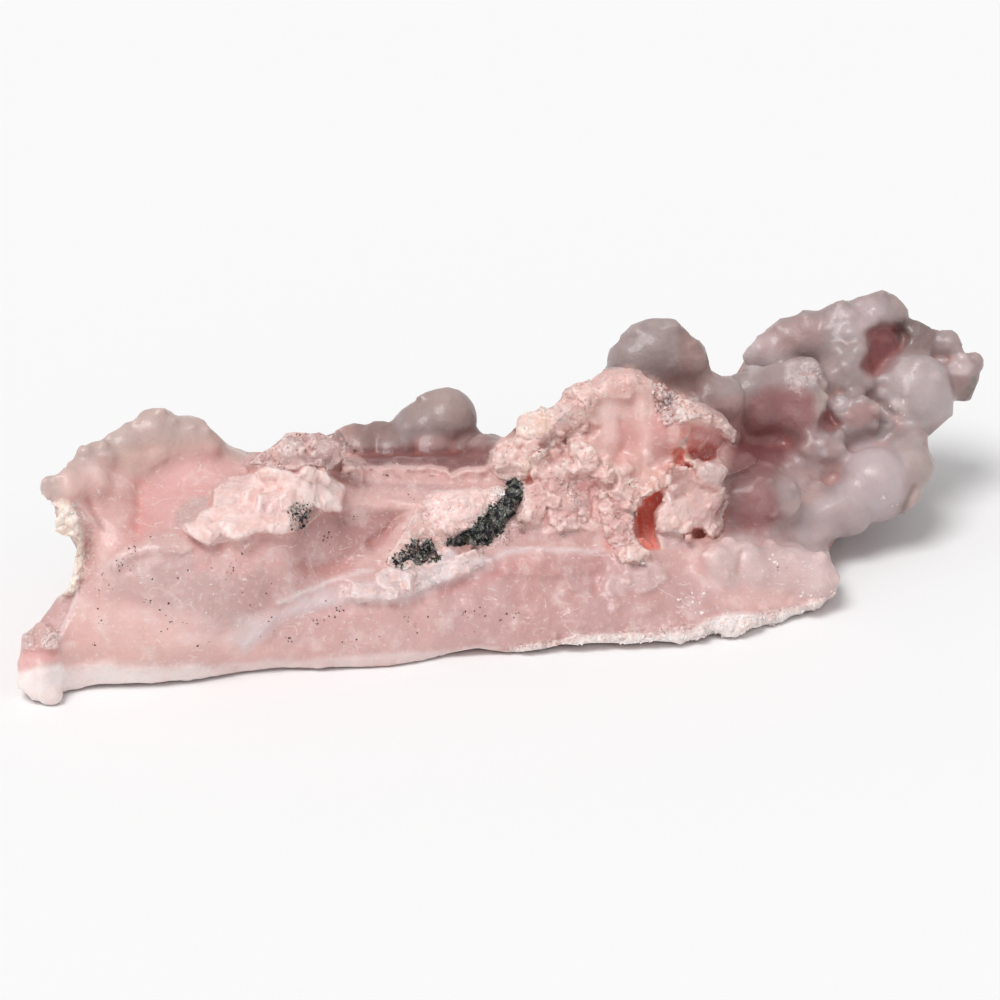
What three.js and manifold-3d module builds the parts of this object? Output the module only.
// A manganocalcite cluster: a broken slab of pink calcite with a crest of broken blocks along its front
// and grape-like knobs behind it and to the right, and three pockets of dark sulphide grains in its face.
// Units are millimetres. X runs along the slab, Y from the broken front face to the back, Z is up.
import * as THREE from "three";
import { ConvexGeometry } from "three/addons/geometries/ConvexGeometry.js";
import { LoftGeometry } from "three/addons/geometries/LoftGeometry.js";
import { mergeVertices } from "three/addons/utils/BufferGeometryUtils.js";
import Module from "manifold-3d";

const wasm = await Module();
wasm.setup();

// ---- driving dimensions ------------------------------------------------------------------------------

const RING_POINTS = 20; // points round each cross-section of the slab
const STEPS_PER_SECTION = 2; // rings between one listed cross-section and the next
const LARGE_KNOB = 9.1; // a knob whose mean radius is above this has the finest facets, in mm
const GRAIN_CLUMP = 3.4; // a clump whose mean radius is below this stays as angular as its grains, in mm
const POCKET_GAP = 0.3; // room between the sulphide grains and the calcite round them
const CUT_DEPTH = 20; // how far the tool that cuts the underside flat reaches down

// The slab's cross-sections from its left end to its right. A ring is a list of [y, z] points: it starts
// under the front edge, runs back under the slab, climbs the back, passes over the crest and comes down
// the broken front face. The flat underside is cut at z = 0 afterwards.
const SECTIONS = [
  { x: -115, ring: [[-53, -4], [-48, -4], [-45, 2], [-44, 7], [-44, 11], [-46, 14], [-48, 14],
    [-50, 12], [-52, 9], [-54, 6], [-54, 2]] },
  { x: -108, ring: [[-52, -6], [-40, -6], [-35, 5], [-34, 12], [-36, 17], [-39, 19], [-43, 19],
    [-47, 16], [-51, 12], [-53, 8], [-52, 2]] },
  { x: -102, ring: [[-47, -6], [-16, -6], [-8, 12], [-12, 28], [-18, 41], [-25, 45], [-30, 41],
    [-34, 35], [-43, 22], [-49, 12], [-49, 3]] },
  { x: -95, ring: [[-46, -6], [0, -6], [8, 14], [6, 32], [-4, 45], [-14, 48], [-26, 43], [-38, 35],
    [-46, 24], [-50, 12], [-48, 3]] },
  { x: -85, ring: [[-45, -6], [8, -6], [18, 16], [14, 34], [4, 48], [-8, 51], [-22, 41], [-39, 36],
    [-46, 24], [-50, 12], [-48, 3]] },
  { x: -75, ring: [[-43, -6], [14, -6], [25, 16], [20, 33], [6, 45], [-6, 49], [-21, 41], [-39, 36],
    [-45, 24], [-48, 12], [-46, 3]] },
  { x: -62, ring: [[-38, -6], [18, -6], [30, 16], [23, 31], [6, 38], [-10, 42], [-19, 42], [-38, 35],
    [-42, 22], [-43, 12], [-41, 3]] },
  { x: -50, ring: [[-37, -6], [20, -6], [32, 16], [25, 29], [6, 38], [-7, 43], [-16, 43], [-34, 35],
    [-38, 19], [-41, 10], [-40, 3]] },
  { x: -38, ring: [[-37, -6], [22, -6], [36, 14], [28, 27], [12, 34], [-1, 39], [-8, 40], [-18, 34],
    [-32, 21], [-38, 12], [-39, 3]] },
  { x: -25, ring: [[-35, -6], [26, -6], [42, 12], [34, 26], [17, 32], [6, 35], [0, 36], [-12, 33],
    [-28, 20], [-35, 11], [-37, 3]] },
  { x: -12, ring: [[-29, -6], [30, -6], [46, 12], [37, 25], [22, 30], [9, 34], [3, 35], [-9, 33],
    [-22, 20], [-29, 11], [-32, 3]] },
  { x: 0, ring: [[-27, -6], [34, -6], [48, 12], [39, 26], [20, 32], [8, 38], [3, 39], [-5, 35],
    [-19, 20], [-28, 10], [-31, 3]] },
  { x: 12, ring: [[-25, -6], [36, -6], [52, 12], [43, 28], [24, 37], [10, 46], [3, 45], [-3, 36],
    [-16, 20], [-26, 9], [-29, 3]] },
  { x: 26, ring: [[-24, -6], [42, -6], [58, 12], [47, 31], [28, 43], [12, 51], [4, 49], [-2, 37],
    [-14, 18], [-24, 8], [-27, 3]] },
  { x: 39, ring: [[-23, -6], [46, -6], [62, 12], [52, 34], [35, 44], [16, 48], [7, 45], [0, 33],
    [-12, 17], [-22, 8], [-27, 3]] },
  { x: 49, ring: [[-20, -6], [50, -6], [69, 12], [61, 34], [46, 41], [29, 37], [16, 30], [4, 22],
    [-9, 16], [-19, 8], [-24, 3]] },
  { x: 60, ring: [[-15, -6], [54, -6], [76, 14], [70, 33], [56, 36], [40, 31], [26, 25], [12, 19],
    [-4, 15], [-14, 9], [-18, 3]] },
  { x: 72, ring: [[-9, -6], [58, -6], [81, 16], [79, 34], [67, 37], [50, 32], [35, 25], [19, 18],
    [5, 13], [-6, 8], [-12, 3]] },
  { x: 82, ring: [[0, -6], [58, -6], [82, 16], [82, 34], [72, 39], [55, 34], [42, 26], [29, 18],
    [16, 12], [6, 8], [0, 3]] },
  { x: 89, ring: [[32, 0], [58, 0], [81, 16], [82, 34], [73, 41], [57, 35], [46, 27], [36, 20],
    [28, 14], [25, 10], [26, 5]] },
  { x: 98, ring: [[42, 12], [56, 12], [76, 22], [80, 34], [73, 42], [60, 37], [51, 30], [44, 25],
    [39, 20], [36, 17], [37, 14]] },
  { x: 110, ring: [[58, 24], [64, 24], [73, 29], [76, 35], [72, 40], [66, 38], [62, 36], [58, 33],
    [56, 30], [55, 28], [56, 26]] },
];

// Knobs and lobes that swell out of the slab, as [x, y, z, rx, ry, rz]: the centre and the radii.
const KNOBS = {
  leftEnd: [
    [-84, -8, 49, 8, 8, 7.5], [-92, -13, 46.5, 7, 7, 6], [-75, -6, 46, 7.5, 8, 7.5],
    [-100, -24, 44.5, 6.5, 7, 6], [-105, -31, 45.5, 6, 5, 3.2], [-103, -34, 38, 5.5, 5, 4.5],
  ],
  lowCorner: [
    [-111, -50, 8, 6, 6, 7], [-111, -53, 3, 6, 5, 4],
  ],
  frontCrest: [
    [-53, -8, 44.5, 6, 6, 5], [-45, -6, 44.5, 6.5, 6, 5],
  ],
  behindCrest: [
    [-36, 21, 33, 6.5, 6, 5.5], [-26, 25, 33.5, 8, 7, 6], [-15, 30, 36.5, 9, 9, 9.6],
    [-4, 27, 30, 5.5, 5, 5],
  ],
  behindPeak: [
    [37.5, 38, 52, 9, 9.5, 9], [46, 38, 52, 7.2, 8, 7.2], [19.5, 18, 48, 5, 5, 4.5],
    [54, 35, 41, 6.5, 7, 7], [30.5, 36, 42, 7, 8, 7],
  ],
  farArm: [
    [70, 66, 39.5, 6, 7, 6], [80, 68, 43.5, 8, 8, 7.5], [98, 72, 47.5, 8.5, 8, 8],
    [88, 66, 44.5, 7, 8, 7], [92, 58, 38, 8, 8, 8],
  ],
  nearArm: [
    [66, 46, 34, 10, 10, 9], [79, 52, 36, 7.8, 7.4, 7.6], [78, 43, 32.5, 7, 7, 6.5],
  ],
  rightTip: [
    [110.5, 71, 41, 5.5, 6, 5.5], [118, 70, 41, 4.2, 4.5, 4.2], [124.5, 66, 37, 4, 4, 3.5],
    [121, 64, 33, 6, 6, 5.5], [109, 58, 33, 9.6, 9.5, 9.6],
  ],
  rightSide: [
    [91, 46, 29.5, 6.5, 6.5, 6.5], [99, 34, 16.5, 10.4, 10.5, 9.6], [107, 43, 21, 7, 8, 8],
    [82, 38, 25.5, 7, 7, 6.5], [84, 24, 13.5, 9, 8, 6.5], [63, 13, 21.5, 10, 8, 7.5],
  ],
  lowerRight: [
    [54, -9, 14.5, 6, 6, 6], [63, -6.5, 11, 6.5, 6.5, 6.5], [73, -3, 9, 7.5, 7.5, 7.5],
    [80, 1, 6, 6.2, 6.2, 6],
  ],
  back: [
    [-90, 7, 26, 9, 8, 10], [-75, 23, 22, 10, 7, 10], [-55, 31, 21, 10, 7, 10], [-35, 39, 17, 10, 7, 10],
    [-14, 44, 18, 10, 7, 10], [8, 49, 19, 10, 7, 10], [31, 58, 23, 10, 7, 10], [54, 68, 23, 10, 7, 10],
    [76, 79, 25, 11, 7, 9],
  ],
};

// Angular blocks left standing where the crest broke: each is the hull of its corner points.
const BLOCKS = {
  mainPeak: [[8, 4, 38], [9, 8, 48], [14, 2, 40], [17, 4, 54], [17, 17, 50], [26, 4, 57], [31, 9, 59.5],
    [30, 17, 56], [38, 9, 57], [40, 4, 50], [38, 0, 36], [24, -4, 34], [42, 18, 48], [12, 20, 38],
    [43, 2, 40]],
  creamShoulder: [[4, 2, 40], [4, 5, 48], [10, 1, 42], [11, 5, 50.5], [6, 10, 46], [13, 10, 40], [8, 0, 36]],
  rightSlab: [[42, 4, 40], [44, 8, 53], [50, 8, 51], [57, 8, 47], [61, 7, 44], [56, 6, 39], [46, 2, 38],
    [46, 14, 46], [54, 13, 42]],
  paleBlock: [[39, 0, 20], [41, -1, 36], [44, 2, 39], [55, 4, 38], [58, 6, 36], [57, 5, 26], [52, 1, 19],
    [45, -2, 17], [48, 12, 34], [54, 12, 26]],
};

// Hollows broken or grown into the face, as [x, y, z, rx, ry, rz].
const HOLLOWS = [
  [36, -7, 24.5, 3.4, 6, 6], // the deep red hollow between the peak and the pale block
  [47, 0, 40.5, 3.6, 4.6, 2.2], // the gap between the right slab and the pale block
];

// The dark inclusions set in the front face: each is a chain of grain clumps, as [x, y, z, rx, ry, rz].
const SULPHIDES = {
  sulphide_seam_main: [
    [-11, -16.5, 25, 2.6, 2.4, 1.8], [-7.6, -15.3, 25.2, 3.2, 2.6, 2.3], [-4.2, -13.4, 26.4, 3.2, 3, 3],
    [-1.2, -11.2, 28.2, 3, 3, 3.2], [1.4, -9, 30.6, 2.8, 3, 3.2], [3.3, -6.9, 33, 2.4, 2.8, 2.8],
  ],
  sulphide_seam_left: [
    [-20.4, -22, 22.8, 2.8, 2.6, 2.4], [-17.8, -20.2, 24.2, 2.8, 2.6, 2.5],
  ],
  sulphide_spot_shelf: [
    [-49.8, -29.8, 36.3, 2.6, 2.6, 2.2], [-47.8, -27.4, 37.2, 2.4, 2.6, 2.2],
  ],
};

// ---- shapes ------------------------------------------------------------------------------------------

// A closed three.js geometry as a manifold solid, with its shared vertices merged.
function solidOf(geometry) {
  const bare = new THREE.BufferGeometry();
  bare.setAttribute("position", geometry.getAttribute("position"));
  if (geometry.index) {
    bare.setIndex(geometry.index);
  }
  const merged = mergeVertices(bare, 1e-4);
  const mesh = new wasm.Mesh({
    numProp: 3,
    vertProperties: merged.getAttribute("position").array,
    triVerts: new Uint32Array(merged.index.array),
  });
  return new wasm.Manifold(mesh);
}

// A ball stretched to its three radii, each of them grown by the allowance.
function ellipsoid([x, y, z, ...radii], allowance = 0) {
  const meanRadius = (radii[0] + radii[1] + radii[2]) / 3;
  const detail = meanRadius < GRAIN_CLUMP ? 0 : meanRadius > LARGE_KNOB ? 2 : 1;
  const geometry = new THREE.IcosahedronGeometry(1, detail);
  geometry.scale(...radii.map((radius) => radius + allowance));
  geometry.translate(x, y, z);
  return solidOf(geometry);
}

// The hull of a block's corner points.
function block(corners) {
  return solidOf(new ConvexGeometry(corners.map((corner) => new THREE.Vector3(...corner))));
}

// The slab: smooth rings through the sections' points, joined by smooth lines along the slab.
function slab() {
  const rails = SECTIONS[0].ring.map((point, i) =>
    new THREE.CatmullRomCurve3(SECTIONS.map(({ x, ring }) => new THREE.Vector3(x, ...ring[i]))));
  const steps = (SECTIONS.length - 1) * STEPS_PER_SECTION;
  const rings = [];
  for (let i = 0; i <= steps; i += 1) {
    const corners = rails.map((rail) => rail.getPoint(i / steps));
    const outline = new THREE.CatmullRomCurve3(corners, true, "centripetal");
    rings.push(outline.getPoints(RING_POINTS).slice(0, -1));
  }
  return solidOf(new LoftGeometry(rings, { closed: true, capStart: true, capEnd: true }));
}

// What is taken away to leave the flat underside.
function spaceBelow() {
  const geometry = new THREE.BoxGeometry(400, 400, CUT_DEPTH);
  geometry.translate(0, 0, -CUT_DEPTH / 2);
  return solidOf(geometry);
}

// All the shapes of a list joined in one solid.
function joined(solids) {
  return solids.reduce((whole, solid) => whole.add(solid));
}

// The calcite body: slab, knobs and blocks, less its hollows, the sulphide pockets and what lies below.
function calciteBody() {
  const knobs = Object.values(KNOBS).flat().map((knob) => ellipsoid(knob));
  const blocks = Object.values(BLOCKS).map(block);
  const hollows = HOLLOWS.map((hollow) => ellipsoid(hollow));
  const pockets = Object.values(SULPHIDES).flat().map((clump) => ellipsoid(clump, POCKET_GAP));
  const grown = joined([slab(), ...knobs, ...blocks]);
  return grown.subtract(joined([...hollows, ...pockets, spaceBelow()]));
}

// ---- the cluster -------------------------------------------------------------------------------------

// A manifold solid as a named mesh with its own material.
function meshOf(solid, name, material) {
  const { numProp, numVert, vertProperties, triVerts } = solid.getMesh();
  const positions = new Float32Array(numVert * 3);
  for (let i = 0; i < numVert; i += 1) {
    positions.set(vertProperties.subarray(i * numProp, i * numProp + 3), i * 3);
  }
  const geometry = new THREE.BufferGeometry();
  geometry.setAttribute("position", new THREE.BufferAttribute(positions, 3));
  geometry.setIndex(new THREE.BufferAttribute(new Uint32Array(triVerts), 1));
  geometry.computeVertexNormals();
  const mesh = new THREE.Mesh(geometry, material);
  mesh.name = name;
  return mesh;
}

const calcite = new THREE.MeshStandardMaterial({ color: 0xe0b4b0, roughness: 0.45, metalness: 0 });
const sulphide = new THREE.MeshStandardMaterial({ color: 0x464b48, roughness: 0.4, metalness: 0.3 });

const pieces = new THREE.Group();
pieces.add(meshOf(calciteBody(), "manganocalcite_mass", calcite));
Object.entries(SULPHIDES).forEach(([name, clumps]) => {
  pieces.add(meshOf(joined(clumps.map((clump) => ellipsoid(clump))), name, sulphide));
});

// The origin is the middle of the footprint, at the height of the flat underside.
const footprint = new THREE.Box3().setFromObject(pieces).getCenter(new THREE.Vector3());
pieces.position.set(-footprint.x, -footprint.y, 0);

const cluster = new THREE.Group();
cluster.name = "manganocalcite_cluster";
cluster.add(pieces);

export default cluster;
